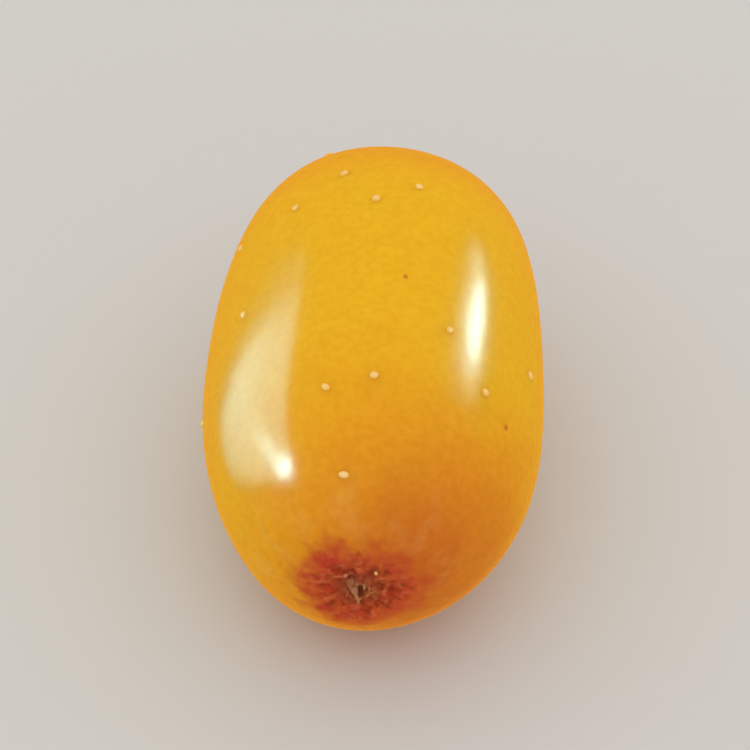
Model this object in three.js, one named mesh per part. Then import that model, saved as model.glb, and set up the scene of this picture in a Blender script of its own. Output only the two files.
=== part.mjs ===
// One sea buckthorn berry, picked and lying on its side: a single closed solid.
// Millimetres, +Z up. The long axis runs along Y, with the dried calyx end at -Y and the stalk end at +Y.
// The origin is the bottom centre of the bounding box, on the small face that the berry rests on.
import * as THREE from "three";

// Barrel: a turned shape whose outline lies between an ellipse and a rectangle
const BERRY_LENGTH = 12.0;
const BERRY_WIDTH = 7.7;
const END_BLUNTNESS = 2.5; // 2 is an ellipse, more flattens the two ends
const BARREL_FULLNESS = 2.55; // 2 is an ellipse, more keeps the full width further along
const RINGS = 52;
const SEGMENTS = 64;
const POLE_CROWDING = 0.78; // 0 spaces the rings evenly, 1 gathers them at the two ends

// Natural unevenness: each lobe swells the barrel by a share of its radius, and drifts round along the length
const LOBES = [
  { count: 1, share: 0.008, phase: 0.3, drift: -1.15 },
  { count: 2, share: 0.014, phase: 4.25, drift: 4.1 },
  { count: 3, share: 0.019, phase: 5.6, drift: -2.8 },
];
const AXIS_BOW = 0.1; // how far the middle of the axis arches up, off the line between the two ends
const SCAR_OVAL = 0.09; // the marks at the two ends are a little oval: this share longer one way
const SCAR_TURN = 0.7; // direction of the longer way, in radians round the axis

// How the berry lies: tipped until its weight is over the face where its underside is pressed flat
const REST_TIP = THREE.MathUtils.degToRad(2.2); // lifts the stalk end
const PRESS_DEPTH = 0.2;
const PRESS_SOFTNESS = 0.05; // height over which the face fades into the round underside

// Calyx end: a shallow dish with radiating folds, around the dried tip of the flower cup
const CALYX = {
  dishRadius: 1.4,
  dishDepth: 0.15,
  rimRadius: 1.15,
  rimWidth: 0.3,
  rimHeight: 0.03,
  foldCount: 7,
  foldUnevenness: 0.8,
  foldHeight: 0.04,
  foldRadius: 0.58,
  foldWidth: 0.26,
  tipRadius: 0.34,
  tipHeight: 0.22,
};

// Stalk end: the round pit that the stalk tore out of, with a raised lip and the stub of its veins
const STALK = {
  dishRadius: 1.25,
  dishDepth: 0.16,
  pitRadius: 0.52,
  pitDepth: 0.24,
  lipRadius: 0.74,
  lipWidth: 0.17,
  lipHeight: 0.07,
  veinRadius: 0.17,
  veinHeight: 0.13,
};

const skin = new THREE.MeshStandardMaterial({
  color: new THREE.Color().setRGB(0.86, 0.55, 0.11, THREE.SRGBColorSpace),
  roughness: 0.32,
  metalness: 0,
});

// 1 at the centre of a dish, falling smoothly to 0 at its radius
function dish(distance, radius) {
  const share = Math.min(distance / radius, 1);
  return (1 - share * share) ** 2;
}

// 1 on a ring of the given radius, fading on both sides of it, and 0 at the centre
function ring(distance, radius, width) {
  const fade = Math.exp(-(((distance - radius) / width) ** 2));
  return fade * Math.min((2 * distance) / radius, 1);
}

// Outline of the barrel, as points (radius, place along the axis) from the calyx pole to the stalk pole
function barrelOutline() {
  return Array.from({ length: RINGS + 1 }, (_, index) => {
    const share = index / RINGS;
    const turn = Math.PI * share - (POLE_CROWDING / 2) * Math.sin(2 * Math.PI * share);
    const across = Math.max(Math.sin(turn), 0) ** (2 / BARREL_FULLNESS);
    const along = Math.abs(Math.cos(turn)) ** (2 / END_BLUNTNESS) * Math.sign(Math.cos(turn));
    const atPole = index === 0 || index === RINGS;
    return new THREE.Vector2(atPole ? 0 : (across * BERRY_WIDTH) / 2, (-along * BERRY_LENGTH) / 2);
  });
}

// How far the surface at the calyx end stands out along the axis
function calyxRelief(distance, angle) {
  const folds = Math.cos(CALYX.foldCount * angle + CALYX.foldUnevenness * Math.sin(2 * angle));
  return (
    CALYX.rimHeight * ring(distance, CALYX.rimRadius, CALYX.rimWidth) +
    CALYX.foldHeight * folds * ring(distance, CALYX.foldRadius, CALYX.foldWidth) +
    CALYX.tipHeight * dish(distance, CALYX.tipRadius) -
    CALYX.dishDepth * dish(distance, CALYX.dishRadius)
  );
}

// How far the surface at the stalk end stands out along the axis
function stalkRelief(distance) {
  return (
    STALK.lipHeight * ring(distance, STALK.lipRadius, STALK.lipWidth) +
    STALK.veinHeight * dish(distance, STALK.veinRadius) -
    STALK.dishDepth * dish(distance, STALK.dishRadius) -
    STALK.pitDepth * dish(distance, STALK.pitRadius)
  );
}

// A point of the turned barrel, moved to where the grown berry has it
function grow(point) {
  const angle = Math.atan2(point.x, point.z);
  const oval = 1 + SCAR_OVAL * Math.cos(2 * (angle - SCAR_TURN));
  const distance = Math.hypot(point.x, point.z) / oval;
  const share = (2 * point.y) / BERRY_LENGTH;
  const swell = LOBES.reduce(
    (sum, lobe) => sum + lobe.share * Math.cos(lobe.count * angle + lobe.phase + lobe.drift * share),
    1,
  );
  const relief = share < 0 ? -calyxRelief(distance, angle) : stalkRelief(distance);
  return new THREE.Vector3(
    point.x * swell,
    point.y + relief,
    point.z * swell + AXIS_BOW * (1 - share * share),
  );
}

// Raises what lies below the resting height to exactly 0, as a maximum with a softened corner
function press(height) {
  const overlap = Math.max(PRESS_SOFTNESS - Math.abs(height), 0);
  return Math.max(height, 0) + overlap ** 2 / (4 * PRESS_SOFTNESS);
}

function berryGeometry() {
  const geometry = new THREE.LatheGeometry(barrelOutline(), SEGMENTS);
  const positions = geometry.getAttribute("position");
  for (let index = 0; index < positions.count; index++) {
    const point = grow(new THREE.Vector3().fromBufferAttribute(positions, index));
    positions.setXYZ(index, point.x, point.y, point.z);
  }
  geometry.rotateX(REST_TIP);
  geometry.computeBoundingBox();
  const { min, max } = geometry.boundingBox;
  geometry.translate(-(min.x + max.x) / 2, -(min.y + max.y) / 2, -min.z - PRESS_DEPTH);
  for (let index = 0; index < positions.count; index++) {
    positions.setZ(index, press(positions.getZ(index)));
  }
  geometry.computeVertexNormals();
  return geometry;
}

const berry = new THREE.Mesh(berryGeometry(), skin);
berry.name = "berry";

const seaBuckthornBerry = new THREE.Group();
seaBuckthornBerry.name = "sea_buckthorn_berry";
seaBuckthornBerry.add(berry);

export default seaBuckthornBerry;
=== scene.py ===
# A sea buckthorn berry, picked and lying on its side on a plain pale floor.
# Metres, +Z up. The berry lies along Y, with its dried calyx end at -Y and its torn stalk end at +Y.
import math

import bpy
from mathutils import Matrix, Vector


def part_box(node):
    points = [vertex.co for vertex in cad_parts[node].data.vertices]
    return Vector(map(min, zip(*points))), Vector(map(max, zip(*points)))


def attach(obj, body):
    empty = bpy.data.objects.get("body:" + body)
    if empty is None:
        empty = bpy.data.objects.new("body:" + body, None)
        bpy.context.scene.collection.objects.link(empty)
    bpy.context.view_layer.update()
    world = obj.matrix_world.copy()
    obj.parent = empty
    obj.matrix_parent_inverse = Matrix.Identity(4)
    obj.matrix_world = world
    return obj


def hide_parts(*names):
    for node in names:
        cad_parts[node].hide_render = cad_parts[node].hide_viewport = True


bl_info = {
    "name": "Sea buckthorn berry",
    "version": (1, 0, 0),
    "blender": (4, 5, 0),
    "location": "3D View > Sidebar > Berry",
    "description": "Builds a sea buckthorn berry with its calyx, stalk scar and scales, and a small studio",
    "category": "Add Mesh",
}

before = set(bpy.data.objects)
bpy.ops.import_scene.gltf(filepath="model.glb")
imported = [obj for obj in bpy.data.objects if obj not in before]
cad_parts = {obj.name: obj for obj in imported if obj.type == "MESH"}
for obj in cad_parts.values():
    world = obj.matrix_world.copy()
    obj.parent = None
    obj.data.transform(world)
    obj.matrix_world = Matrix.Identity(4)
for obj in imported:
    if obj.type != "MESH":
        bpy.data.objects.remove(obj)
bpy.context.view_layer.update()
BERRY_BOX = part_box("berry")
BODY = "root"
MM = 0.001

# Barrel, as the frame has it: a turned outline between an ellipse and a rectangle, swollen by lobes
WIDEST_SWELL = 1.0107  # how much the lobes add to the berry's width
END_RELIEF = 1.0048  # how much the lip and the tip of the axis add to its length
LOBES = (
    {"count": 1, "share": 0.008, "phase": 0.3, "drift": -1.15},
    {"count": 2, "share": 0.014, "phase": 4.25, "drift": 4.1},
    {"count": 3, "share": 0.019, "phase": 5.6, "drift": -2.8},
)
SCAR_OVAL = 0.09  # the marks at the two ends are this share longer one way
SCAR_TURN = 0.7  # direction of the longer way, in radians round the axis
BAND_ROUND = 256
BAND_ALONG = 280
POLE_CROWDING = 0.62  # 0 spaces the rings evenly, 1 gathers them at the two ends

# Patterns of the skin: about how wide one patch of each is, in millimetres
PATCH_SIZE = 2.6
CLOUD_SIZE = 0.55
LUMP_SIZE = 0.4
GRAIN_SIZE = 0.3
BLOB_SIZE = 0.22
MOTTLE_SIZE = 0.18
FLECK_SIZE = 0.17
WAX_SIZE = 0.07

# Marks at the two ends: (where one starts, where it is full), in millimetres from the axis
HALO_FADE = (1.8, 0.95)
FLECK_FADE = (1.55, 0.95)
BLOB_FADE = (1.4, 0.9)
RIDGE_FADE = (0.7, 0.3)
HEART_FADE = (0.68, 0.28)
HOLLOW_FADE = (0.36, 0.18)
STAIN_FADE = (1.45, 0.85)
TORN_FADE = (0.74, 0.68)
PIT_FADE = (0.45, 0.18)
CORK_RING = (0.76, 0.09)  # radius and width
BLOOM_RING = (2.1, 0.5)  # radius and width

# How much of the colour below each pattern covers
COVER = {
    "stalk_end": 0.85, "underside": 0.55, "clouds": 0.3, "blush": 0.65, "mottle": 0.52, "dots": 0.6,
    "bloom": 0.13, "flecks": 0.9, "blobs": 0.38, "heart": 0.92, "ridges": 0.4, "hollow": 0.4,
    "stain": 0.55, "flesh": 0.55, "pit": 0.8,
}
MOTTLE_TINT = (0.86, 0.79, 0.55)

# Tufts of dried hairs and lobes: lengths in millimetres, angles in radians
LOBE_TUFT = {"length": 0.44, "thickness": 0.045, "bend": 0.12, "lean": 0.8, "seed": 4}
STYLE_TUFT = {"length": 0.8, "thickness": 0.11, "bend": -0.1, "lean": 1.1, "seed": 2}
HAIR_TUFT = {"length": 0.3, "thickness": 0.016, "bend": -0.1, "lean": 0.5, "seed": 11}
FIBRE_TUFT = {"length": 0.3, "thickness": 0.028, "bend": 0.06, "lean": -0.35, "seed": 21}
STYLE_OFFSET = -0.36
STYLE_ASIDE = -0.13
STYLE_SINK = 0.02
TUFT_SINK = 0.22
FIBRE_SINK = 0.08
LOBE_FLATNESS = 1.6  # how much wider than thick a lobe is

# Scales: how many to the square millimetre where they stand thickest
BODY_DENSITY = 0.21
BODY_SEED = 141
CALYX_DENSITY = 2.4
CALYX_SEED = 3
SCALE_DOME = 0.5  # height of a scale as a share of its radius

# Studio, in metres
FLOOR_REACH = 1.5
TOP_HEIGHT = 0.3
TOP_WIDTH = 0.9
FILL_TINT = (1.0, 0.985, 0.96)
UPRIGHT_SHARE = 0.87  # how much of the berry's height counts in what the camera sees

# Upright cards on both sides of the berry, in millimetres: an outline is (place along Y, height)
CARD_PLACE = 9.0
CARD_COLOUR = (0.5, 1.0, 0.95)
LEFT_CARD = ((-3.6, 1.0), (2.4, 1.0), (9.3, 10.6), (1, 11.6), (-10.2, 9.9), (-11, 9.0))
RIGHT_CARD = ((-1.5, 6.5), (11, 7.5), (11, 14.0), (-1.5, 13.0))

# Upright boards just over the berry, in millimetres, which hide each card from the far side
FLAG_PLACE = 1.3  # from the middle to each side
FLAG_GAP = 0.02
FLAG_REACH = 9.0
FLAG_TOP = 14.0
FLAG_STEPS = 45


class Field:
    """A value in a node tree that adds, multiplies and so on as a plain number does."""

    def __init__(self, maker, socket):
        self.maker = maker
        self.socket = socket

    def __add__(self, other):
        return self.maker.math("ADD", self, other)

    def __sub__(self, other):
        return self.maker.math("SUBTRACT", self, other)

    def __mul__(self, other):
        return self.maker.math("MULTIPLY", self, other)

    def __truediv__(self, other):
        return self.maker.math("DIVIDE", self, other)

    def __pow__(self, other):
        return self.maker.math("POWER", self, other)

    __radd__ = __add__
    __rmul__ = __mul__

    def __rsub__(self, other):
        return self.maker.math("SUBTRACT", other, self)

    def __rtruediv__(self, other):
        return self.maker.math("DIVIDE", other, self)

    def __neg__(self):
        return self * -1.0


class Maker:
    """Adds nodes to a tree and links them, for geometry and for shaders alike."""

    def __init__(self, tree):
        self.tree = tree

    def put(self, value, socket):
        """Links a field or an output socket to an input socket, or sets the input to a plain value."""
        if isinstance(value, Field):
            value = value.socket
        if isinstance(value, bpy.types.NodeSocket):
            self.tree.links.new(value, socket)
        else:
            socket.default_value = value

    def node(self, kind, inputs=None, **settings):
        """A new node with these settings, and these inputs by name or number."""
        node = self.tree.nodes.new(kind)
        for name, value in settings.items():
            setattr(node, name, value)
        for name, value in (inputs or {}).items():
            self.put(value, node.inputs[name])
        return node

    def field(self, kind, inputs=None, output=0, **settings):
        return Field(self, self.node(kind, inputs, **settings).outputs[output])

    def math(self, operation, *values):
        return self.field("ShaderNodeMath", dict(enumerate(values)), operation=operation)

    def vector(self, operation, *values):
        return self.field("ShaderNodeVectorMath", dict(enumerate(values)), operation=operation)

    def scaled(self, vector, factor):
        return self.field("ShaderNodeVectorMath", {"Vector": vector, "Scale": factor}, operation="SCALE")

    def split(self, vector):
        node = self.node("ShaderNodeSeparateXYZ", {"Vector": vector})
        return [Field(self, socket) for socket in node.outputs]

    def join(self, x, y, z):
        return self.field("ShaderNodeCombineXYZ", {"X": x, "Y": y, "Z": z})

    def ramp(self, value, low, high, to_low=0.0, to_high=1.0):
        """Goes smoothly from to_low to to_high as value goes from low to high."""
        sizes = {"Value": value, 1: low, 2: high, 3: to_low, 4: to_high}
        return self.field("ShaderNodeMapRange", sizes, interpolation_type="SMOOTHSTEP")

    def noise(self, vector, size, detail, roughness=0.5):
        """Soft noise from 0 to 1 whose lumps are about size across, in the vector's units."""
        inputs = {"Vector": vector, "Scale": 1.0 / size, "Detail": detail, "Roughness": roughness}
        return self.field("ShaderNodeTexNoise", inputs)


class ShapeTree(Maker):
    """A geometry node tree with named inputs, which ends in Realize Instances and Set Material."""

    def __init__(self, name):
        super().__init__(bpy.data.node_groups.new(name, "GeometryNodeTree"))
        self.tree.interface.new_socket("Geometry", in_out="INPUT", socket_type="NodeSocketGeometry")
        self.tree.interface.new_socket("Geometry", in_out="OUTPUT", socket_type="NodeSocketGeometry")
        self.inlet = self.tree.nodes.new("NodeGroupInput")
        self.values = {}

    def size(self, name, value, kind="NodeSocketFloat"):
        """A named input of the tree and the value that the berry gives it."""
        socket = self.tree.interface.new_socket(name, in_out="INPUT", socket_type=kind)
        self.values[socket.identifier] = value
        return Field(self, self.inlet.outputs[name])

    def finish(self, geometry, material):
        kind = "NodeSocketMaterial"
        socket = self.tree.interface.new_socket("Material", in_out="INPUT", socket_type=kind)
        self.values[socket.identifier] = material
        real = self.node("GeometryNodeRealizeInstances", {"Geometry": geometry})
        inputs = {"Geometry": real.outputs[0], "Material": self.inlet.outputs["Material"]}
        painted = self.node("GeometryNodeSetMaterial", inputs)
        outlet = self.tree.nodes.new("NodeGroupOutput")
        self.tree.links.new(painted.outputs[0], outlet.inputs[0])

    def mark(self, geometry, name, value, data_type="FLOAT", domain="POINT"):
        """The geometry with a value stored on it under this name."""
        inputs = {"Geometry": geometry, "Name": name, "Value": value}
        kind = "GeometryNodeStoreNamedAttribute"
        return self.node(kind, inputs, data_type=data_type, domain=domain).outputs[0]

    def move(self, geometry, **inputs):
        """The geometry with its points at a new Position, or moved by an Offset."""
        return self.node("GeometryNodeSetPosition", {"Geometry": geometry, **inputs}).outputs[0]

    def chance(self, seed, low, high, salt):
        """A random value for each instance, from the seed and a salt of its own."""
        inputs = {2: low, 3: high, "Seed": seed + salt}
        return self.field("FunctionNodeRandomValue", inputs, 1, data_type="FLOAT")

    def grow(self, name, start=None):
        """Runs the tree on a start mesh, and returns a new object with the result as its plain mesh."""
        seed = bpy.data.objects.new(name + "_seed", start or bpy.data.meshes.new(name + "_seed"))
        bpy.context.scene.collection.objects.link(seed)
        modifier = seed.modifiers.new("shape", "NODES")
        modifier.node_group = self.tree
        for identifier, value in self.values.items():
            modifier[identifier] = value
        graph = bpy.context.evaluated_depsgraph_get()
        mesh = bpy.data.meshes.new_from_object(seed.evaluated_get(graph), depsgraph=graph)
        mesh.name = name
        bpy.data.objects.remove(seed)
        piece = bpy.data.objects.new(name, mesh)
        bpy.context.scene.collection.objects.link(piece)
        mesh.polygons.foreach_set("use_smooth", [True] * len(mesh.polygons))
        return piece


class PaintTree(Maker):
    """The node tree of one material, around its Principled shader."""

    def __init__(self, name, **plain):
        self.material = bpy.data.materials.new(name)
        self.material.use_nodes = True
        super().__init__(self.material.node_tree)
        self.tree.nodes.clear()
        named = {key.replace("_", " "): value for key, value in plain.items()}
        self.shader = self.node("ShaderNodeBsdfPrincipled", named)
        self.node("ShaderNodeOutputMaterial", {"Surface": self.shader.outputs[0]})

    def place(self):
        """Where a point is on the finished piece, in millimetres."""
        spot = self.node("ShaderNodeTexCoord").outputs["Object"]
        return self.scaled(spot, 1.0 / MM)

    def attribute(self, name, output="Vector"):
        return Field(self, self.node("ShaderNodeAttribute", attribute_name=name).outputs[output])

    def mix(self, share, first, second, blend="MIX"):
        first, second = (value if isinstance(value, Field) else (*value, 1.0) for value in (first, second))
        inputs = {"Factor": share, 6: first, 7: second}
        return self.field("ShaderNodeMix", inputs, 2, data_type="RGBA", blend_type=blend)

    def group(self, tree, inputs, output=0):
        node = self.node("ShaderNodeGroup", node_tree=tree)
        for name, value in inputs.items():
            self.put(value, node.inputs[name])
        return Field(self, node.outputs[output])

    def bump(self, height, distance, normal=None):
        inputs = {"Height": height, "Distance": distance, "Strength": 1.0}
        if normal:
            inputs["Normal"] = normal
        return self.field("ShaderNodeBump", inputs)

    def finish(self, **driven):
        for name, value in driven.items():
            self.put(value, self.shader.inputs[name.replace("_", " ")])
        return self.material


def pattern_group(name, inputs, build):
    """A shader node group. build gets its maker and its inputs as fields, and returns its outputs."""
    tree = bpy.data.node_groups.new(name, "ShaderNodeTree")
    make = Maker(tree)
    inlet = tree.nodes.new("NodeGroupInput")
    fields = []
    for label, value in inputs.items():
        kind = "NodeSocketVector" if value is None else "NodeSocketFloat"
        socket = tree.interface.new_socket(label, in_out="INPUT", socket_type=kind)
        if value is not None:
            socket.default_value = value
        fields.append(Field(make, inlet.outputs[label]))
    outlet = tree.nodes.new("NodeGroupOutput")
    for label, field in build(make, *fields).items():
        tree.interface.new_socket(label, in_out="OUTPUT", socket_type="NodeSocketFloat")
        make.put(field, outlet.inputs[label])
    return tree


def fine_grain():
    """Group: the fine pebbled grain that every surface of the berry has, as a height from 0 to 1."""

    def build(make, place, size):
        coarse = make.noise(place, size, 2.0)
        fine = make.field("ShaderNodeTexNoise", {"Vector": place, "Scale": 2.7 / size, "Detail": 1.0})
        return {"Height": coarse * 0.7 + fine * 0.3}

    return pattern_group("Fine Grain", {"Place": None, "Size": 0.25}, build)


def blotches():
    """Group: uneven patches with soft edges, from 0 to 1, for colours that wander over a surface."""

    def build(make, place, size, contrast):
        patch = make.field(
            "ShaderNodeTexNoise", {"Vector": place, "Scale": 1.0 / size, "Detail": 4.0, "Distortion": 0.4}
        )
        spread = (patch - 0.5) * contrast + 0.5
        return {"Mask": make.math("MINIMUM", make.math("MAXIMUM", spread, 0.0), 1.0)}

    return pattern_group("Blotches", {"Place": None, "Size": 1.0, "Contrast": 2.0}, build)


def shared_groups():
    """The shader node groups, each built once."""
    built = bpy.data.node_groups
    return {
        "grain": built.get("Fine Grain") or fine_grain(),
        "blotches": built.get("Blotches") or blotches(),
    }


def from_axis(make, across, up):
    """How far a point is from the berry's axis."""
    return make.math("SQRT", across * across + up * up)


def bell(make, value, middle, width):
    """1 where the value is at the middle, fading over the width on both sides."""
    offset = (value - middle) / width
    return make.math("EXPONENT", -(offset * offset))


def streaks(make, across, up, distance, spokes, length):
    """Noise drawn out into streaks that run away from the axis, as many as spokes to the radian."""
    place = make.join(across / distance * spokes, up / distance * spokes, distance / length)
    return make.noise(place, 1.0, 3.0, 0.6)


class SkinPlace:
    """Where a point of the skin is, and the noises that the marks at its two ends share."""

    def __init__(self, paint):
        self.spot = paint.place()
        self.across, self.share, up = paint.split(paint.attribute("turned"))
        self.distance = from_axis(paint, self.across, up)
        self.at_calyx = paint.math("LESS_THAN", self.share, 0.0)
        self.rays = streaks(paint, self.across, up, self.distance, 3.2, 0.9)
        self.lumps = paint.noise(self.spot, LUMP_SIZE, 3.0)
        self.flecks = paint.noise(self.spot, FLECK_SIZE, 2.0)


def body_colour(paint, skin, colours):
    """Yellow at the stalk half, orange towards the calyx and below, finely mottled, with small dots. The
    orange below is painted warm bounce light; the orange at the stalk tip is partly the skin's own tint and
    partly painted warm reflection and shade.
    """
    blotch = shared_groups()["blotches"]
    patches = paint.group(blotch, {"Place": skin.spot, "Size": PATCH_SIZE, "Contrast": 2.2})
    clouds = paint.group(blotch, {"Place": skin.spot, "Size": CLOUD_SIZE, "Contrast": 1.6})
    mottle = paint.ramp(paint.noise(skin.spot, MOTTLE_SIZE, 2.0), 0.25, 0.75)
    low_side = skin.across * paint.ramp(skin.share, -0.2, -0.8)
    lean = paint.ramp(skin.share + (patches - 0.5) * 0.35 - low_side * 0.12, -0.15, -1.2)
    colour = paint.mix(lean, colours.skin_yellow, colours.skin_orange)
    # Partly painted light: the stalk end is turned more orange, partly as the skin's own tint and partly as
    # painted warm reflection and shade at that end.
    stalk_end = paint.ramp(skin.share, 0.4, 1.0)
    colour = paint.mix(stalk_end * COVER["stalk_end"], colour, colours.skin_orange)
    # Painted bounce light: the skin is turned more orange the lower it lies above the floor, standing in
    # for warm light bounced up onto the underside.
    underside = paint.ramp(paint.split(skin.spot)[2] + patches, 4.0, 0.5)
    colour = paint.mix(underside * COVER["underside"], colour, colours.skin_orange)
    colour = paint.mix(clouds * COVER["clouds"], colour, colours.skin_amber)
    right_cheek = paint.ramp(skin.across * 0.3 - skin.share * 2.0 + patches, 1.4, 3.5)
    blush = right_cheek * paint.ramp(skin.share, -0.5, -1.0)
    colour = paint.mix(blush * COVER["blush"], colour, colours.halo_red)
    darker = paint.mix(1.0, colour, MOTTLE_TINT, "MULTIPLY")
    colour = paint.mix(mottle * COVER["mottle"], colour, darker)

    dots = paint.node("ShaderNodeTexVoronoi", {"Vector": skin.spot, "Scale": 0.8})
    rare = paint.math("GREATER_THAN", paint.split(dots.outputs["Color"])[0], 0.45)
    dot = paint.ramp(Field(paint, dots.outputs["Distance"]), 0.075, 0.035) * rare
    return paint.mix(dot * COVER["dots"], colour, colours.halo_red)


def calyx_colour(paint, skin, colours, colour):
    """Red flecked halo round a brown heart, whose middle is darkened partly as painted shade. Returns the
    colour, and masks of the halo and the heart.
    """
    distance, rays, at_calyx = skin.distance, skin.rays, skin.at_calyx
    bloom = paint.ramp(rays, 0.48, 0.7) * bell(paint, distance, *BLOOM_RING) * at_calyx
    colour = paint.mix(bloom * COVER["bloom"], colour, colours.scale_cream)
    ragged = distance + (skin.lumps - 0.5) * 1.3 + (rays - 0.5) * 0.4
    flush = paint.ramp(ragged, *HALO_FADE) * at_calyx
    paler = paint.ramp(rays, 0.52, 0.36) * 0.26
    reddest = paint.ramp(skin.across, 0.7, -1.0, 0.86, 1.05)
    colour = paint.mix(flush * (reddest - paler), colour, colours.halo_red)
    spread = skin.flecks + (1.0 - distance) * 0.28 + (rays - 0.5) * 0.7
    fleck = paint.ramp(spread, 0.44, 0.78) * paint.ramp(distance, *FLECK_FADE) * at_calyx
    colour = paint.mix(fleck * COVER["flecks"], colour, colours.crimson)
    speckle = paint.ramp(paint.noise(skin.spot, BLOB_SIZE, 1.0), 0.52, 0.7)
    blob = speckle * paint.ramp(distance, *BLOB_FADE) * at_calyx
    colour = paint.mix(blob * COVER["blobs"], colour, colours.flush_pink)
    heart = paint.ramp(distance + (rays - 0.5) * 0.9 + (skin.lumps - 0.5) * 0.4, *HEART_FADE) * at_calyx
    colour = paint.mix(heart * COVER["heart"], colour, colours.calyx_brown)
    crest = paint.ramp(rays + (skin.flecks - 0.5) * 0.5, 0.52, 0.64)
    ridge = crest * heart * paint.ramp(distance, *RIDGE_FADE)
    colour = paint.mix(ridge * COVER["ridges"], colour, colours.scar_cork)
    # Partly painted shade: the middle of the heart is darkened towards near-black, as the dried tissue's
    # own dark colour and as shade round the foot of the dried tuft.
    hollow = paint.ramp(distance + (rays - 0.5) * 0.5, *HOLLOW_FADE) * at_calyx
    return paint.mix(hollow * COVER["hollow"], colour, colours.hollow_brown_and_shade), flush, heart


def stalk_colour(paint, skin, colours, colour):
    """Torn flesh in a corky ring. Returns the colour, and masks of the flesh and the ring."""
    at_stalk = 1.0 - skin.at_calyx
    tear = skin.distance * (1.0 + (skin.rays - 0.5) * 0.22) + (skin.lumps - 0.5) * 0.2
    stain = paint.ramp(tear + (skin.flecks - 0.5) * 0.9, *STAIN_FADE) * at_stalk
    colour = paint.mix(stain * COVER["stain"], colour, colours.halo_red)
    torn = paint.ramp(tear, *TORN_FADE) * at_stalk
    vein = paint.ramp(skin.rays, 0.4, 0.75) * COVER["flesh"]
    colour = paint.mix(torn, colour, paint.mix(vein, colours.torn_flesh, colours.crimson))
    cork = bell(paint, tear, *CORK_RING) * at_stalk
    colour = paint.mix(cork * paint.ramp(skin.flecks, 0.3, 0.55), colour, colours.scar_cork)
    pit = paint.ramp(tear, *PIT_FADE) * at_stalk
    return paint.mix(pit * COVER["pit"], colour, colours.calyx_brown), torn, cork


def skin_paint(colours):
    """Thin waxy skin over orange flesh, with a crimson calyx halo, a torn stalk scar and small dots."""
    paint = PaintTree(
        "berry_skin", IOR=1.5, Subsurface_Weight=1.0, Subsurface_Scale=0.0009,
        Subsurface_Radius=(1.0, 0.65, 0.3),
    )
    skin = SkinPlace(paint)
    colour = body_colour(paint, skin, colours)
    colour, flush, heart = calyx_colour(paint, skin, colours, colour)
    colour, torn, cork = stalk_colour(paint, skin, colours, colour)

    pebbled = shared_groups()["grain"]
    grain = paint.group(pebbled, {"Place": skin.spot, "Size": GRAIN_SIZE})
    wax = paint.group(pebbled, {"Place": skin.spot, "Size": WAX_SIZE})
    rough = 0.15 + grain * 0.1 + heart * 0.5 + torn * 0.15 + cork * 0.3 + flush * 0.1
    normal = paint.bump(grain, 0.005 * MM)
    normal = paint.bump(wax, 0.0006 * MM, normal)
    normal = paint.bump(skin.rays * (heart + torn) + skin.flecks * cork, 0.05 * MM, normal)
    return paint.finish(Base_Color=colour, Roughness=rough, Normal=normal)


def dried_paint(name, base, tip):
    """Dried plant tissue: base colour at the foot, tip colour at the end, streaked and rough."""
    groups = shared_groups()
    paint = PaintTree(name, IOR=1.45, Specular_IOR_Level=0.1)
    place = paint.place()
    grown = paint.attribute("grown", "Fac")
    tint = paint.attribute("tint", "Fac")
    patches = paint.group(groups["blotches"], {"Place": place, "Size": 0.09, "Contrast": 2.4})
    share = paint.ramp(grown + (patches - 0.5) * 0.6 + (tint - 0.5) * 0.9, 0.35, 1.05)
    grain = paint.group(groups["grain"], {"Place": place, "Size": 0.03})
    colour = paint.mix(share, base, tip)
    rough = 0.55 + grain * 0.3
    return paint.finish(Base_Color=colour, Roughness=rough, Normal=paint.bump(grain, 0.004 * MM))


def scale_paint(name, first, second, skin):
    """Tiny raised scales between two colours, which fade into the colour of the skin at their edges."""
    groups = shared_groups()
    paint = PaintTree(name, IOR=1.45)
    grain = paint.group(groups["grain"], {"Place": paint.place(), "Size": 0.02})
    colour = paint.mix(paint.attribute("tint", "Fac"), first, second)
    colour = paint.mix(paint.ramp(paint.attribute("edge", "Fac"), 0.45, 1.0) * 0.8, colour, skin)
    rough = 0.25 + grain * 0.2
    return paint.finish(Base_Color=colour, Roughness=rough, Normal=paint.bump(grain, 0.002 * MM))


def floor_paint(colour):
    """Plain pale board with the faintest grain."""
    groups = shared_groups()
    paint = PaintTree("pale_floor", IOR=1.45, Specular_IOR_Level=0.0)
    place = paint.place()
    grain = paint.group(groups["grain"], {"Place": place, "Size": 0.6})
    tone = paint.mix(grain * 0.06, colour, [part * 0.8 for part in colour])
    return paint.finish(Base_Color=tone, Roughness=0.6 + grain * 0.1)


def dish(make, distance, radius):
    """1 at the centre of a dish, falling smoothly to 0 at its radius."""
    share = make.math("MINIMUM", distance / radius, 1.0)
    rest = 1.0 - share * share
    return rest * rest


def ring(make, distance, radius, width):
    """1 on a ring of the given radius, fading on both sides of it, and 0 at the centre."""
    offset = (distance - radius) / width
    return make.math("EXPONENT", -(offset * offset)) * make.math("MINIMUM", distance * 2.0 / radius, 1.0)


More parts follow.
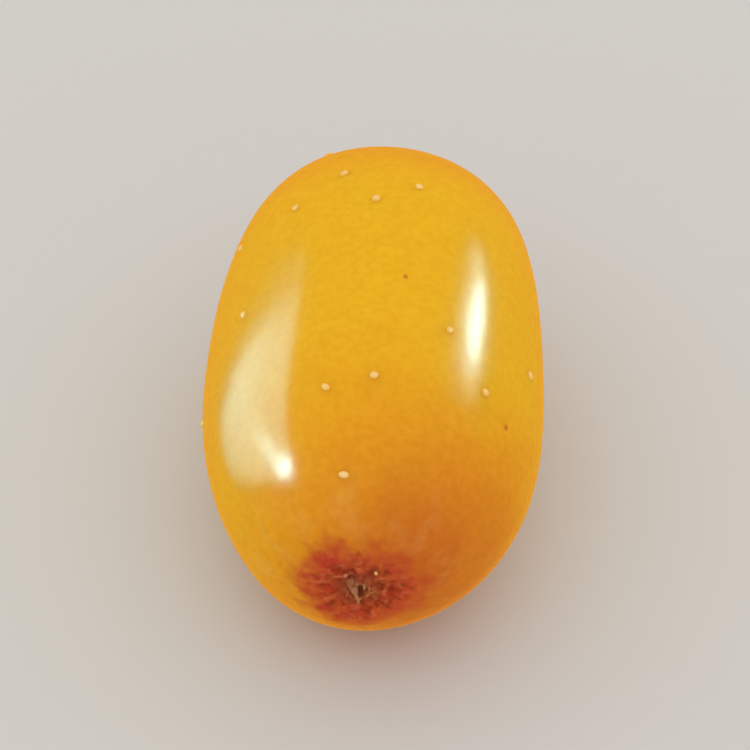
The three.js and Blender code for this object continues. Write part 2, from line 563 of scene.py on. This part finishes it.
def barrel_tree(shape, calyx, stalk, material):
    """The whole skin: a turned outline swollen by lobes, a mark at each end and a face pressed flat."""
    make = ShapeTree("Berry Barrel")
    length = make.size("Length", shape.length)
    width = make.size("Width", shape.width)
    bluntness = make.size("End Bluntness", shape.end_bluntness)
    fullness = make.size("Barrel Fullness", shape.barrel_fullness)
    bow = make.size("Axis Bow", shape.axis_bow)
    tip = make.size("Rest Tip", shape.rest_tip)
    press_depth = make.size("Press Depth", shape.press_depth)
    press_softness = make.size("Press Softness", shape.press_softness)
    unevenness = make.size("Unevenness", shape.unevenness)

    inputs = {"Segments": BAND_ROUND, "Rings": BAND_ALONG, "Radius": 1.0}
    sphere = make.node("GeometryNodeMeshUVSphere", inputs).outputs["Mesh"]
    east, north, pole = make.split(make.field("GeometryNodeInputPosition"))
    flat = make.math("SQRT", east * east + north * north)
    even = make.math("ARCTAN2", flat, pole)
    turn = even - make.math("SINE", even * 2.0) * (POLE_CROWDING / 2)
    sine = make.math("MAXIMUM", make.math("SINE", turn), 0.0)
    cosine = make.math("COSINE", turn)
    radius = sine ** (2.0 / fullness) * width * 0.5
    share = -(make.math("ABSOLUTE", cosine) ** (2.0 / bluntness)) * make.math("SIGN", cosine)
    across, up = east / flat * radius, north / flat * radius
    angle = make.math("ARCTAN2", east, north)

    turned = make.join(across / MM, share, up / MM)
    marked = make.mark(sphere, "turned", turned, "FLOAT_VECTOR")

    swell = 1.0
    for lobe in LOBES:
        wave = make.math("COSINE", angle * lobe["count"] + share * lobe["drift"] + lobe["phase"])
        swell = wave * lobe["share"] + swell
    oval = make.math("COSINE", (angle - SCAR_TURN) * 2.0) * SCAR_OVAL + 1.0
    distance = radius / oval
    relief = end_relief(make, calyx, stalk, across, up, distance, angle, share)
    arch = bow * (1.0 - share * share)
    place = make.join(across * swell, share * length * 0.5 + relief, up * swell + arch)
    lumps = make.noise(make.scaled(place, 1.0 / MM), 1.1, 2.0) - 0.5
    outward = make.vector("NORMALIZE", make.join(across, share * width * 0.3, up))
    place = make.vector("ADD", place, make.scaled(outward, lumps * unevenness))
    inputs = {"Vector": place, "Angle": tip}
    place = make.field("ShaderNodeVectorRotate", inputs, rotation_type="X_AXIS")
    lying = make.move(marked, Position=place)

    east, north, height = make.split(make.field("GeometryNodeInputPosition"))
    lowest = make.field("GeometryNodeAttributeStatistic", {"Geometry": lying, "Attribute": height}, "Min")
    over = height - lowest - press_depth
    pressed = make.math("SMOOTH_MAX", over, 0.0, press_softness)
    make.finish(make.move(lying, Position=make.join(east, north, pressed)), material)
    return make


def end_relief(make, calyx, stalk, across, up, distance, angle, share):
    """How far along the axis the marks at the two ends move the skin."""
    wander = streaks(make, across, up, distance, 2.6, 0.5 * MM) - 0.5
    folds = make.math("COSINE", angle * calyx.fold_count + make.math("SINE", angle * 2.0) * 0.8)
    bed = (
        ring(make, distance, calyx.rim_radius, calyx.rim_width) * calyx.rim_height
        + folds * ring(make, distance, calyx.fold_radius, calyx.fold_width) * calyx.fold_height
        + wander * ring(make, distance, calyx.fold_radius, calyx.fold_width * 1.3) * calyx.wrinkle_height
        + ring(make, distance + wander * (0.1 * MM), calyx.collar_radius, calyx.collar_width)
        * calyx.collar_height
        - dish(make, distance, calyx.dish_radius) * calyx.dish_depth
    )
    ragged = distance * (1.0 + wander * 0.35)
    torn = (
        ring(make, ragged, stalk.lip_radius, stalk.lip_width) * stalk.lip_height
        + dish(make, distance, stalk.vein_radius) * stalk.vein_height
        + wander * ring(make, distance, stalk.lip_radius * 0.7, stalk.lip_width) * stalk.wrinkle_height
        - dish(make, distance, stalk.dish_radius) * stalk.dish_depth
        - dish(make, ragged, stalk.pit_radius) * stalk.pit_depth
    )
    at_calyx = make.math("LESS_THAN", share, 0.0)
    return torn * (1.0 - at_calyx) - bed * at_calyx


def hair_tree(name, number, ring_radius, tuft, material, flatness=1.0):
    """Tapered, bent hairs or lobes that stand in a ring round the origin and point along +Z."""
    make = ShapeTree(name)
    count = make.size("Count", number, "NodeSocketInt")
    tall = make.size("Length", tuft["length"] * MM)
    thick = make.size("Thickness", tuft["thickness"] * MM)
    spread = make.size("Spread", ring_radius)
    bend = make.size("Bend", tuft["bend"] * MM)
    lean = make.size("Lean", tuft["lean"])
    seed = make.size("Seed", tuft["seed"], "NodeSocketInt")

    inputs = {"Vertices": 7, "Side Segments": 6, "Fill Segments": 1, "Depth": tall}
    cone = make.node("GeometryNodeMeshCone", inputs | {"Radius Bottom": thick, "Radius Top": thick * 0.25})
    east, north, height = make.split(make.field("GeometryNodeInputPosition"))
    grown = height / tall
    marked = make.mark(cone.outputs["Mesh"], "grown", grown)
    hair = make.move(marked, Position=make.join(east * flatness, north + grown * grown * bend, height))

    index = make.field("GeometryNodeInputIndex")
    angle = index * (math.tau / number) + make.chance(seed, -0.35, 0.35, 1)
    away = spread * make.chance(seed, 0.55, 1.0, 2)
    spot = make.join(make.math("SINE", angle) * away, -(make.math("COSINE", angle)) * away, 0.0)
    points = make.node("GeometryNodePoints", {"Count": count, "Position": spot}).outputs[0]
    tip_over = lean * make.chance(seed, 0.6, 1.4, 3)
    roll = make.chance(seed, -0.3, 0.3, 4)
    wide = make.chance(seed, 0.75, 1.25, 5)
    deep = make.chance(seed, 0.75, 1.25, 6)
    long = make.chance(seed, 0.5, 1.2, 7)
    inputs = {
        "Points": points, "Instance": hair,
        "Rotation": make.join(tip_over, roll, angle), "Scale": make.join(wide, deep, long),
    }
    placed = make.node("GeometryNodeInstanceOnPoints", inputs).outputs[0]
    tinted = make.mark(placed, "tint", make.chance(seed, 0.0, 1.0, 8), domain="INSTANCE")
    real = make.node("GeometryNodeRealizeInstances", {"Geometry": tinted}).outputs[0]
    spot = make.field("GeometryNodeInputPosition")
    inputs = {"Vector": make.scaled(spot, 1.0 / MM), "Scale": 9.0, "Detail": 1.0}
    shake = make.field("ShaderNodeTexNoise", inputs, "Color")
    offset = make.scaled(make.vector("SUBTRACT", shake, (0.5, 0.5, 0.5)), thick * 1.4)
    make.finish(make.move(real, Offset=offset), material)
    return make


def scale_tree(name, scales, material):
    """Low domed scales strewn over a skin mesh, more or fewer of them towards each of its ends."""
    make = ShapeTree(name)
    radius = make.size("Radius", scales["radius"])
    spacing = make.size("Spacing", scales["spacing"])
    density = make.size("Density", scales["density"])
    calyx_reach = make.size("Calyx Reach", scales["calyx_reach"])
    calyx_gap = make.size("Calyx Gap", scales["calyx_gap"])
    calyx_half = make.size("Calyx Half", scales["calyx_half"])
    stalk_half = make.size("Stalk Half", scales["stalk_half"])
    seed = make.size("Seed", scales["seed"], "NodeSocketInt")

    turned = make.field(
        "GeometryNodeInputNamedAttribute", {"Name": "turned"}, "Attribute", data_type="FLOAT_VECTOR"
    )
    across, share, up = make.split(turned)
    distance = from_axis(make, across, up) * MM
    near = make.ramp(distance, calyx_reach, calyx_gap) * make.math("LESS_THAN", share, 0.0)
    clear = make.ramp(distance, calyx_gap * 0.7, calyx_gap)
    strewn = make.ramp(share, -0.5, 0.4, calyx_half, stalk_half)
    height = make.split(make.field("GeometryNodeInputPosition"))[2]
    off_floor = make.ramp(height, radius * 1.5, radius * 6.0)
    inputs = {
        "Mesh": make.inlet.outputs["Geometry"], "Distance Min": spacing, "Density Max": density,
        "Density Factor": make.math("MAXIMUM", near, strewn) * clear * off_floor, "Seed": seed,
    }
    spots = make.node("GeometryNodeDistributePointsOnFaces", inputs, distribute_method="POISSON")

    inputs = {"Segments": 16, "Rings": 10, "Radius": radius}
    ball = make.node("GeometryNodeMeshUVSphere", inputs).outputs["Mesh"]
    east, north, _ = make.split(make.field("GeometryNodeInputPosition"))
    marked = make.mark(ball, "edge", from_axis(make, east, north) / radius)
    flat = make.vector("MULTIPLY", make.field("GeometryNodeInputPosition"), (1.0, 1.0, SCALE_DOME))
    wide = make.chance(seed, 0.75, 1.15, 1)
    deep = make.chance(seed, 0.75, 1.15, 2)
    tall = make.chance(seed, 0.8, 1.3, 3)
    inputs = {
        "Points": spots.outputs["Points"], "Instance": make.move(marked, Position=flat),
        "Rotation": spots.outputs["Rotation"], "Scale": make.join(wide, deep, tall),
    }
    placed = make.node("GeometryNodeInstanceOnPoints", inputs).outputs[0]
    tint = make.chance(seed, 0.0, 1.0, 4)
    make.finish(make.mark(placed, "tint", tint, domain="INSTANCE"), material)
    return make


def fit_to(piece, low, high):
    """Moves and stretches a piece by the last hundredth, so that its box is exactly the frame's."""
    corners = [Vector(corner) for corner in piece.bound_box]
    lowest = Vector(map(min, *corners))
    highest = Vector(map(max, *corners))
    stretch = [(high[i] - low[i]) / (highest[i] - lowest[i]) for i in range(3)]
    shift = [low[i] - lowest[i] * stretch[i] for i in range(3)]
    piece.data.transform(Matrix.Translation(shift) @ Matrix.Diagonal((*stretch, 1.0)))
    piece.data.update()


def pole(skin, side):
    """The middle of the skin's calyx end (side -1) or stalk end (side 1)."""
    turned = skin.data.attributes["turned"].data
    index = max(range(len(turned)), key=lambda number: side * turned[number].vector.y)
    return skin.data.vertices[index].co.copy()


def stand_at(piece, skin, side, sink, aside=0.0):
    """Stands a piece made along +Z on one end of the berry, sunk in and put aside a little."""
    axis = (pole(skin, side) - pole(skin, -side)).normalized()
    turn = axis.to_track_quat("Z", "Y").to_matrix().to_4x4()
    foot = Matrix.Translation(pole(skin, side) - axis * sink)
    piece.data.transform(foot @ turn @ Matrix.Translation((aside, 0.0, 0.0)))
    piece.data.update()


def add_piece(piece):
    """Tells the frame that a piece rides on the berry's body."""
    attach(piece, BODY)


def size_of(name, description, millimetres):
    """A length property, with its default given in millimetres."""
    return bpy.props.FloatProperty(
        name=name, description=description, unit="LENGTH", default=millimetres * MM, precision=6
    )


def angle_of(name, description, degrees):
    """An angle property, with its default given in degrees."""
    return bpy.props.FloatProperty(
        name=name, description=description, subtype="ANGLE", default=math.radians(degrees)
    )


def number_of(name, description, default):
    """A plain number property."""
    return bpy.props.FloatProperty(name=name, description=description, default=default)


def count_of(name, description, default):
    """A whole number property."""
    return bpy.props.IntProperty(name=name, description=description, default=default)


def colour_of(name, description, red, green, blue):
    """A colour property."""
    return bpy.props.FloatVectorProperty(
        name=name, description=description, subtype="COLOR", size=3, min=0.0, max=1.0,
        default=(red, green, blue),
    )


class BerryShape(bpy.types.PropertyGroup):
    """Driving sizes of the whole berry"""

    length: bpy.props.FloatProperty(
        name="Length", description="From the calyx end to the stalk end", unit="LENGTH",
        default=(BERRY_BOX[1].y - BERRY_BOX[0].y) / END_RELIEF, precision=5,
    )
    width: bpy.props.FloatProperty(
        name="Width", description="Across the middle, before the lobes swell it", unit="LENGTH",
        default=(BERRY_BOX[1].x - BERRY_BOX[0].x) / WIDEST_SWELL, precision=5,
    )
    end_bluntness: number_of("End bluntness", "2 is an ellipse, more flattens the two ends", 2.5)
    barrel_fullness: number_of("Barrel fullness", "2 is an ellipse, more holds the full width", 2.55)
    axis_bow: size_of("Axis bow", "How far the middle of the axis arches up", 0.1)
    rest_tip: angle_of("Rest tip", "How far the stalk end is tipped up as the berry lies", 2.2)
    press_depth: size_of("Press depth", "How much of the underside is pressed flat", 0.2)
    press_softness: size_of("Press softness", "Height over which the flat face fades out", 0.05)
    unevenness: size_of("Unevenness", "Height of the faint lumps that make highlights waver", 0.02)


class CalyxShape(bpy.types.PropertyGroup):
    """Sizes of the dried calyx end"""

    dish_radius: size_of("Dish radius", "Shallow dish round the calyx", 1.4)
    dish_depth: size_of("Dish depth", "Depth of that dish", 0.15)
    rim_radius: size_of("Rim radius", "Faint swelling round the dish", 1.15)
    rim_width: size_of("Rim width", "Width of the swelling", 0.3)
    rim_height: size_of("Rim height", "Height of the swelling", 0.03)
    fold_radius: size_of("Fold radius", "Where the radiating folds are highest", 0.58)
    fold_width: size_of("Fold width", "How far the folds reach to each side", 0.26)
    fold_height: size_of("Fold height", "Height of the folds", 0.035)
    wrinkle_height: size_of("Wrinkle height", "Height of the fine wrinkles between the folds", 0.09)
    collar_radius: size_of("Collar radius", "Ragged collar that the dried tuft stands in", 0.24)
    collar_width: size_of("Collar width", "Width of the collar", 0.1)
    collar_height: size_of("Collar height", "Height of the collar", 0.12)
    fold_count: count_of("Folds", "Number of radiating folds", 7)
    lobe_count: count_of("Lobes", "Dried lobes in the tuft", 7)
    hair_count: count_of("Hairs", "Hairs round the tuft", 10)


class StalkShape(bpy.types.PropertyGroup):
    """Sizes of the torn stalk end"""

    dish_radius: size_of("Dish radius", "Shallow dish round the scar", 1.25)
    dish_depth: size_of("Dish depth", "Depth of that dish", 0.16)
    pit_radius: size_of("Pit radius", "Pit that the stalk tore out of", 0.52)
    pit_depth: size_of("Pit depth", "Depth of the pit", 0.24)
    lip_radius: size_of("Lip radius", "Raised lip round the pit", 0.74)
    lip_width: size_of("Lip width", "Width of the lip", 0.17)
    lip_height: size_of("Lip height", "Height of the lip", 0.07)
    vein_radius: size_of("Vein radius", "Stub of the veins in the middle", 0.17)
    vein_height: size_of("Vein height", "Height of the stub", 0.13)
    wrinkle_height: size_of("Wrinkle height", "Height of the torn wrinkles in the pit", 0.08)
    fibre_count: count_of("Fibres", "Torn fibres in the pit", 11)


class BerryColours(bpy.types.PropertyGroup):
    """Colours of the skin, the calyx and the scales"""

    skin_yellow: colour_of("Skin yellow", "Skin at the stalk half and on top", 0.93, 0.56, 0.022)
    skin_amber: colour_of("Skin amber", "Deeper patches in the skin", 0.90, 0.47, 0.022)
    skin_orange: colour_of("Skin orange", "Skin towards the calyx end", 0.84, 0.33, 0.020)
    halo_red: colour_of("Halo red", "Red flush round the scars, and small dots", 0.54, 0.040, 0.028)
    flush_pink: colour_of("Flush pink", "Paler spots in the red flush", 0.78, 0.24, 0.12)
    crimson: colour_of("Crimson", "Flecks and streaks in the red flush", 0.27, 0.010, 0.009)
    calyx_brown: colour_of("Calyx brown", "Dried middle of the calyx", 0.34, 0.056, 0.025)
    # Partly painted shade: near-black for the middle of the calyx, round the foot of the dried tuft.
    hollow_brown_and_shade: colour_of("Hollow brown", "Dark hollow in the calyx", 0.06, 0.015, 0.010)
    calyx_tan: colour_of("Calyx tan", "Tips of the dried lobes", 0.52, 0.26, 0.11)
    style_brown: colour_of("Style brown", "Dried style", 0.40, 0.15, 0.07)
    hair_straw: colour_of("Hair straw", "Tips of the calyx hairs and stalk fibres", 0.50, 0.30, 0.14)
    scar_cork: colour_of("Scar cork", "Corky ring round the stalk scar", 0.80, 0.34, 0.10)
    torn_flesh: colour_of("Torn flesh", "Wet flesh in the stalk scar", 0.62, 0.20, 0.03)
    scale_cream: colour_of("Scale cream", "Paler scales on the skin", 1.0, 0.70, 0.31)
    scale_gold: colour_of("Scale gold", "Deeper scales on the skin", 1.0, 0.62, 0.20)


class ScaleSettings(bpy.types.PropertyGroup):
    """Sizes and numbers of the scales on the skin"""

    body_radius: size_of("Body scale radius", "Scales strewn over the skin", 0.11)
    body_spacing: size_of("Body scale spacing", "Closest two of them stand", 0.5)
    body_gap: size_of("Body scale gap", "How near the calyx they go", 1.5)
    calyx_radius: size_of("Calyx scale radius", "Scales round the calyx", 0.06)
    calyx_spacing: size_of("Calyx scale spacing", "Closest two of them stand", 0.28)
    calyx_gap: size_of("Calyx gap", "Bare ring next to the tuft", 0.35)
    calyx_reach: size_of("Calyx reach", "How far from the calyx they go", 1.0)


class StudioSettings(bpy.types.PropertyGroup):
    """Floor, lights and camera"""

    floor_colour: colour_of("Floor", "Plain pale floor", 0.70, 0.685, 0.655)
    surround: colour_of("Surround", "Warm colour that the skin mirrors", 0.92, 0.36, 0.05)
    lens: number_of("Lens", "Focal length in millimetres", 200.0)
    elevation: angle_of("Elevation", "How far down the camera looks", 47.1)
    azimuth: angle_of("Azimuth", "How far the camera stands round from the calyx end", 3.54)
    frame_share: number_of("Frame share", "Share of the picture that the berry's height fills", 0.64)
    fill_light: number_of("Fill light", "Brightness of the even light all round", 0.83)
    top_light: number_of("Top light", "Brightness of the broad panel overhead", 0.12)
    card_light: number_of("Card light", "Brightness of the broad card on the left", 4.2)
    strip_light: number_of("Strip light", "Brightness of the hot strip on the right", 18.0)


class BuildSkin(bpy.types.Operator):
    """Build the berry's skin, with its calyx dish, stalk scar and resting face"""

    bl_idname = "berry.build_skin"
    bl_label = "Skin"

    def execute(self, context):
        scene = context.scene
        paint = skin_paint(scene.berry_colours)
        tree = barrel_tree(scene.berry_shape, scene.berry_calyx, scene.berry_stalk, paint)
        skin = tree.grow("berry_skin")
        fit_to(skin, *BERRY_BOX)
        add_piece(skin)
        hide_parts("berry")
        return {"FINISHED"}


class BuildCalyx(bpy.types.Operator):
    """Build the dried tuft in the calyx: curled lobes with hairs round them"""

    bl_idname = "berry.build_calyx"
    bl_label = "Calyx tuft"

    def execute(self, context):
        skin = bpy.data.objects["berry_skin"]
        calyx, colours = context.scene.berry_calyx, context.scene.berry_colours
        collar = calyx.collar_radius
        brown = dried_paint("dried_calyx", colours.calyx_brown, colours.calyx_tan)
        straw = dried_paint("calyx_hair", colours.calyx_brown, colours.hair_straw)
        tan = dried_paint("dried_style", colours.style_brown, colours.calyx_tan)
        lobes = hair_tree("Calyx Lobes", calyx.lobe_count, collar * 0.8, LOBE_TUFT, brown, LOBE_FLATNESS)
        style = hair_tree("Dried Style", 1, STYLE_OFFSET * MM, STYLE_TUFT, tan)
        hairs = hair_tree("Calyx Hairs", calyx.hair_count, collar * 1.1, HAIR_TUFT, straw)
        pieces = (
            (lobes.grow("calyx_lobes"), TUFT_SINK, 0.0),
            (style.grow("dried_style"), STYLE_SINK, STYLE_ASIDE),
            (hairs.grow("calyx_hairs"), TUFT_SINK, 0.0),
        )
        for piece, sink, aside in pieces:
            stand_at(piece, skin, -1, sink * MM, aside * MM)
            add_piece(piece)
        return {"FINISHED"}


class BuildStalkFibres(bpy.types.Operator):
    """Build the torn fibres that stand in the stalk's pit"""

    bl_idname = "berry.build_stalk_fibres"
    bl_label = "Stalk fibres"

    def execute(self, context):
        skin = bpy.data.objects["berry_skin"]
        stalk, colours = context.scene.berry_stalk, context.scene.berry_colours
        straw = dried_paint("stalk_fibre", colours.torn_flesh, colours.hair_straw)
        fibres = hair_tree("Stalk Fibres", stalk.fibre_count, stalk.vein_radius, FIBRE_TUFT, straw)
        piece = fibres.grow("stalk_fibres")
        stand_at(piece, skin, 1, FIBRE_SINK * MM)
        add_piece(piece)
        return {"FINISHED"}


class BuildScales(bpy.types.Operator):
    """Strew the tiny pale scales over the skin and round the calyx"""

    bl_idname = "berry.build_scales"
    bl_label = "Scales"

    def execute(self, context):
        skin = bpy.data.objects["berry_skin"]
        sizes = context.scene.berry_scales
        body = {
            "radius": sizes.body_radius, "spacing": sizes.body_spacing, "density": BODY_DENSITY / MM**2,
            "calyx_gap": sizes.body_gap, "calyx_reach": sizes.body_gap * 1.5, "calyx_half": 0.35,
            "stalk_half": 0.9, "seed": BODY_SEED,
        }
        calyx = {
            "radius": sizes.calyx_radius, "spacing": sizes.calyx_spacing, "density": CALYX_DENSITY / MM**2,
            "calyx_gap": sizes.calyx_gap, "calyx_reach": sizes.calyx_reach, "calyx_half": 0.0,
            "stalk_half": 0.0, "seed": CALYX_SEED,
        }
        colours = context.scene.berry_colours
        pale = scale_paint("pale_scale", colours.scale_cream, colours.scale_gold, colours.skin_yellow)
        tan = scale_paint("tan_scale", colours.scale_gold, colours.calyx_tan, colours.calyx_brown)
        for name, scales, paint in (("skin_scales", body, pale), ("calyx_scales", calyx, tan)):
            piece = scale_tree(name.replace("_", " ").title(), scales, paint).grow(name, skin.data.copy())
            add_piece(piece)
        return {"FINISHED"}


class BuildStage(bpy.types.Operator):
    """Build the pale floor, the soft lights and the camera"""

    bl_idname = "berry.build_stage"
    bl_label = "Stage"

    def execute(self, context):
        studio = context.scene.berry_studio
        skin = bpy.data.objects["berry_skin"]
        add_floor(studio)
        add_surround(context.scene, studio)
        add_top_light("top_panel", studio.top_light)
        add_card("left_card", -CARD_PLACE, LEFT_CARD, left_glow, CARD_COLOUR, studio.card_light)
        add_card("right_card", CARD_PLACE, RIGHT_CARD, right_glow, CARD_COLOUR, studio.strip_light)
        for name, place in (("left_flag", -FLAG_PLACE), ("right_flag", FLAG_PLACE)):
            add_card(name, place, flag_outline(skin, place), even_glow, studio.surround, 1.0)
        add_camera(context.scene, studio)
        return {"FINISHED"}


def add_floor(studio):
    """A wide plain floor under the berry, which its skin doesn't mirror."""
    mesh = bpy.data.meshes.new("floor")
    reach = FLOOR_REACH
    corners = [(-reach, -reach, 0), (reach, -reach, 0), (reach, reach, 0), (-reach, reach, 0)]
    mesh.from_pydata(corners, [], [(0, 1, 2, 3)])
    mesh.materials.append(floor_paint(list(studio.floor_colour)))
    floor = bpy.data.objects.new("floor", mesh)
    bpy.context.scene.collection.objects.link(floor)
    floor.visible_glossy = False


def add_surround(scene, studio):
    """Even pale light from all round, which the skin mirrors as a warm colour."""
    world = bpy.data.worlds.new("studio")
    world.use_nodes = True
    make = Maker(world.node_tree)
    mirrored = make.node("ShaderNodeLightPath").outputs["Is Glossy Ray"]
    fill = [part * studio.fill_light for part in FILL_TINT]
    inputs = {"Factor": mirrored, 6: (*fill, 1.0), 7: (*studio.surround, 1.0)}
    glow = make.node("ShaderNodeMix", inputs, data_type="RGBA").outputs[2]
    make.put(glow, world.node_tree.nodes["Background"].inputs["Color"])
    scene.world = world
    scene.view_settings.view_transform = "Standard"


def add_top_light(name, brightness):
    """A broad square light overhead, which the skin doesn't mirror."""
    light = bpy.data.lights.new(name, "AREA")
    light.shape = "SQUARE"
    light.size = TOP_WIDTH
    light.energy = brightness * math.pi * TOP_WIDTH**2
    lamp = bpy.data.objects.new(name, light)
    lamp.location = (0.0, 0.0, TOP_HEIGHT)
    lamp.visible_glossy = False
    lamp.visible_camera = False
    bpy.context.scene.collection.objects.link(lamp)


def left_glow(make, along, height):
    """A broad glow with two soft edges, and one small hot spot with a trail."""
    sheet = make.ramp(along, 9.0, 2.0, 0.5, 1.0) * make.ramp(height, 0.5, 5.5, 0.3, 1.0)
    far_edge = make.ramp(along - height * 0.72, 1.65, -1.1)
    low_edge = make.ramp(along + height * 0.93, -2.6, -0.2)
    hot = bell(make, along, -7.6, 0.75) * bell(make, height, 8.8, 1.3) * 9.0
    trail = bell(make, along + height * 1.6, 6.6, 2.0) * bell(make, height, 7.8, 1.3) * 2.3
    return sheet * far_edge * low_edge + hot + trail


def right_glow(make, along, height):
    """A hot strip with a faint tail at both ends and a dim glow above and below it."""
    core = make.ramp(along, 0.6, 1.8) * make.ramp(along, 6.0, 4.6)
    tail = make.ramp(along, -1.4, 0.5) * make.ramp(along, 11.0, 6.5) * 0.18
    rise = height - along * 0.08 - 9.0
    band = make.ramp(make.math("ABSOLUTE", rise), 1.3, 0.4)
    return (core + tail) * band + (core + tail * 3.0) * bell(make, rise, 1.0, 1.5) * 0.16


def even_glow(make, along, height):
    """No pattern: as bright all over."""
    return 1.0


def flag_outline(skin, place):
    """Outline of a board whose lower edge follows the berry's back, against glare on its top edge."""
    top = FLAG_TOP * MM
    outline = []
    for step in range(-FLAG_STEPS, FLAG_STEPS + 1):
        along = FLAG_REACH * step / FLAG_STEPS
        found, point, _, _ = skin.ray_cast((place * MM, along * MM, top), (0.0, 0.0, -1.0))
        height = point.z / MM + FLAG_GAP if found else BERRY_BOX[1].z / MM / 2
        outline.append((along, height))
    return outline + [(FLAG_REACH, FLAG_TOP), (-FLAG_REACH, FLAG_TOP)]


def add_card(name, place, outline, pattern, colour, brightness):
    """A glowing card beside the berry that is seen in reflections only, and makes no shade."""
    mesh = bpy.data.meshes.new(name)
    corners = [(place * MM, along * MM, height * MM) for along, height in outline]
    mesh.from_pydata(corners, [], [range(len(corners))])
    glow = bpy.data.materials.new(name)
    glow.use_nodes = True
    glow.node_tree.nodes.clear()
    make = Maker(glow.node_tree)
    spot = make.scaled(make.node("ShaderNodeTexCoord").outputs["Object"], 1.0 / MM)
    strength = pattern(make, *make.split(spot)[1:]) * brightness
    light = make.node("ShaderNodeEmission", {"Color": (*colour, 1.0), "Strength": strength})
    make.node("ShaderNodeOutputMaterial", {"Surface": light.outputs[0]})
    mesh.materials.append(glow)
    card = bpy.data.objects.new(name, mesh)
    bpy.context.scene.collection.objects.link(card)
    card.visible_camera = False
    card.visible_diffuse = False
    card.visible_shadow = False


def add_camera(scene, studio):
    """A long lens that looks down on the berry from its calyx end."""
    low, high = BERRY_BOX
    middle = (low + high) / 2
    back = Vector((
        math.sin(studio.azimuth) * math.cos(studio.elevation),
        -math.cos(studio.azimuth) * math.cos(studio.elevation),
        math.sin(studio.elevation),
    ))
    lens = bpy.data.cameras.new("camera")
    lens.lens = studio.lens
    shown = math.hypot((high.y - low.y) * math.sin(studio.elevation), (high.z - low.z) * UPRIGHT_SHARE)
    distance = shown / studio.frame_share * lens.lens / lens.sensor_width
    lens.clip_start, lens.clip_end = distance * 0.05, distance * 40
    camera = bpy.data.objects.new("camera", lens)
    camera.location = middle + back * distance
    camera.rotation_euler = back.to_track_quat("Z", "Y").to_euler()
    scene.collection.objects.link(camera)
    scene.camera = camera


class BerryPanel(bpy.types.Panel):
    """Lists the berry's sizes and its pieces"""

    bl_idname = "VIEW3D_PT_sea_buckthorn_berry"
    bl_label = "Sea buckthorn berry"
    bl_space_type = "VIEW_3D"
    bl_region_type = "UI"
    bl_category = "Berry"

    def draw(self, context):
        for settings in SETTINGS:
            group = getattr(context.scene, settings)
            box = self.layout.box()
            for name in group.__annotations__:
                box.prop(group, name)
        for operator in OPERATORS:
            self.layout.operator(operator.bl_idname)


SETTINGS = {
    "berry_shape": BerryShape,
    "berry_calyx": CalyxShape,
    "berry_stalk": StalkShape,
    "berry_colours": BerryColours,
    "berry_scales": ScaleSettings,
    "berry_studio": StudioSettings,
}
OPERATORS = (BuildSkin, BuildCalyx, BuildStalkFibres, BuildScales, BuildStage)


def register():
    for kind in (*SETTINGS.values(), *OPERATORS, BerryPanel):
        bpy.utils.register_class(kind)
    for name, kind in SETTINGS.items():
        setattr(bpy.types.Scene, name, bpy.props.PointerProperty(type=kind))


def unregister():
    for name in SETTINGS:
        delattr(bpy.types.Scene, name)
    for kind in reversed((*SETTINGS.values(), *OPERATORS, BerryPanel)):
        bpy.utils.unregister_class(kind)


def main():
    register()
    bpy.ops.berry.build_skin()
    bpy.ops.berry.build_calyx()
    bpy.ops.berry.build_stalk_fibres()
    bpy.ops.berry.build_scales()
    bpy.ops.berry.build_stage()


if __name__ == "__main__":
    main()
